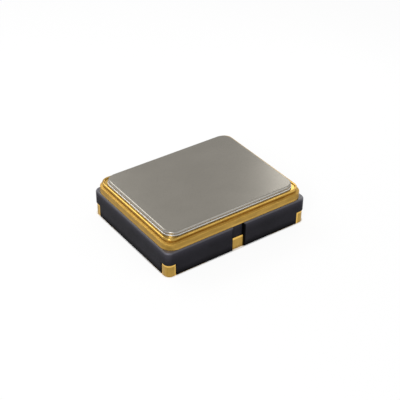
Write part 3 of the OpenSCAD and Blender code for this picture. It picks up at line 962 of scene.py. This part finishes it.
def make_floor():
    """A plain pale square just below the soldering faces. To the camera and in reflections it
    glows towards white, save under the package itself, where the gap below the ceramic stays
    dark: there the distance of |x, y| from the box of the corners' centres is less than the
    corner radius."""
    half, below, contact, whiteness = 60.0, 0.0005, 0.012 * MM, 0.9
    corners = np.array([(-half, -half, -below), (half, -half, -below),
                        (half, half, -below), (-half, half, -below)])
    floor = piece_from("studio_floor", corners, [(0, 1, 2, 3)])
    material, tree = new_material("pale_studio_floor")
    paper = add(tree, "BsdfPrincipled", Base_Color=group("finishes").floor, Roughness=0.9,
                Specular_IOR_Level=0.0)
    length, width, _ = package()
    radius = group("base_sizes").corner_radius
    centre = (length / 2 * MM - radius, width / 2 * MM - radius, 0)
    beside = add(tree, "VectorMath", {"operation": "ABSOLUTE"}, _0=add(tree, "TexCoord", out="Object"))
    beyond = add(tree, "VectorMath", {"operation": "SUBTRACT"}, _0=beside, _1=centre)
    beyond = add(tree, "VectorMath", {"operation": "MAXIMUM"}, _0=beyond, _1=(0, 0, 0))
    away = add(tree, "VectorMath", {"operation": "LENGTH"}, "Value", _0=beyond)
    outside = add(tree, "MapRange", Value=away, From_Min=radius, From_Max=radius + contact,
                  To_Max=whiteness)
    share = add(tree, "Math", {"operation": "MULTIPLY"}, _0=seen_rays(tree), _1=outside)
    glow = add(tree, "Emission", Color=(1, 1, 1), Strength=1.0)
    add(tree, "OutputMaterial", Surface=add(tree, "MixShader", _0=share, _1=paper, _2=glow))
    floor.data.materials.append(material)


def seen_rays(tree):
    """1 for rays that show the surround: from the camera, in reflections and through glass."""
    seen = 0.0
    for ray in ("Is Camera Ray", "Is Glossy Ray", "Is Transmission Ray"):
        seen = add(tree, "Math", {"operation": "MAXIMUM"}, _0=add(tree, "LightPath", out=ray), _1=seen)
    return seen


def make_world():
    """An even white surround. The camera and reflections see it at full white; as a light it
    has a plain level."""
    world = bpy.data.worlds.new("studio_world")
    bpy.context.scene.world = world
    world.use_nodes = True
    tree = world.node_tree
    tree.nodes.clear()
    as_light, as_seen = 0.6, 1.0
    strength = add(tree, "MapRange", Value=seen_rays(tree), To_Min=as_light, To_Max=as_seen)
    glow = add(tree, "Background", Color=(1, 1, 1), Strength=strength)
    add(tree, "OutputWorld", Surface=glow)


def make_lamp(name, direction, distance, sides, radiance):
    """A soft rectangular lamp that faces the object. Its power is its radiance times pi times
    its area."""
    lamp = bpy.data.lights.new(name, "AREA")
    lamp.shape = "RECTANGLE"
    lamp.size, lamp.size_y = sides[0] * MM, sides[1] * MM
    lamp.energy = radiance * math.pi * lamp.size * lamp.size_y
    made = bpy.data.objects.new(name, lamp)
    away = Vector(direction).normalized()
    made.location = away * distance * MM
    made.rotation_euler = away.to_track_quat("Z", "Y").to_euler()
    bpy.context.scene.collection.objects.link(made)


def make_camera():
    """A long lens at the photograph's angle. The view runs from the camera's direction down to
    the object, and the origin lies across and up from the middle of the picture."""
    sizes = group("camera_sizes")
    flat = Vector((math.cos(sizes.azimuth), math.sin(sizes.azimuth), 0)) * math.cos(sizes.elevation)
    forward = -(flat + Vector((0, 0, math.sin(sizes.elevation))))
    level = forward.cross(Vector((0, 0, 1))).normalized()
    upright = level.cross(forward)
    right = level * math.cos(sizes.roll) + upright * math.sin(sizes.roll)
    up = upright * math.cos(sizes.roll) - level * math.sin(sizes.roll)
    data = bpy.data.cameras.new("camera")
    data.lens = sizes.lens
    data.sensor_width = 36.0
    data.clip_start, data.clip_end = 1.0 * MM, 1000.0 * MM
    made = bpy.data.objects.new("camera", data)
    turn = Matrix((right, up, -forward)).transposed().to_4x4()
    place = -sizes.distance * forward - sizes.across * right - sizes.up * up
    made.matrix_world = Matrix.Translation(place) @ turn
    bpy.context.scene.collection.objects.link(made)
    bpy.context.scene.camera = made


class OSCILLATOR_PT_panel(bpy.types.Panel):
    """Lists the steps that build the oscillator"""
    bl_idname = "OSCILLATOR_PT_panel"
    bl_label = "Crystal oscillator"
    bl_space_type = "VIEW_3D"
    bl_region_type = "UI"
    bl_category = "Oscillator"

    def draw(self, context):
        for operator in OPERATORS:
            self.layout.operator(operator.bl_idname)


GROUPS = {"base_sizes": BaseSizes, "cavity_sizes": CavitySizes, "ring_sizes": RingSizes,
          "finishes": Finishes, "camera_sizes": CameraSizes}
OPERATORS = [OSCILLATOR_OT_ceramic_base, OSCILLATOR_OT_braze_collar, OSCILLATOR_OT_seal_ring,
             OSCILLATOR_OT_lid, OSCILLATOR_OT_terminals, OSCILLATOR_OT_inner_pieces,
             OSCILLATOR_OT_stage]


def register():
    """Registers the classes and hangs the property groups on the scene."""
    for cls in (*GROUPS.values(), *OPERATORS, OSCILLATOR_PT_panel):
        bpy.utils.register_class(cls)
    for name, cls in GROUPS.items():
        setattr(bpy.types.Scene, name, PointerProperty(type=cls))


def unregister():
    """Takes the property groups off the scene and unregisters the classes."""
    for name in GROUPS:
        delattr(bpy.types.Scene, name)
    for cls in (OSCILLATOR_PT_panel, *reversed(OPERATORS), *reversed(list(GROUPS.values()))):
        bpy.utils.unregister_class(cls)


def main():
    """Builds everything."""
    register()
    bpy.ops.oscillator.ceramic_base()
    bpy.ops.oscillator.braze_collar()
    bpy.ops.oscillator.seal_ring()
    bpy.ops.oscillator.lid()
    bpy.ops.oscillator.terminals()
    bpy.ops.oscillator.inner_pieces()
    bpy.ops.oscillator.stage()


if __name__ == "__main__":
    main()
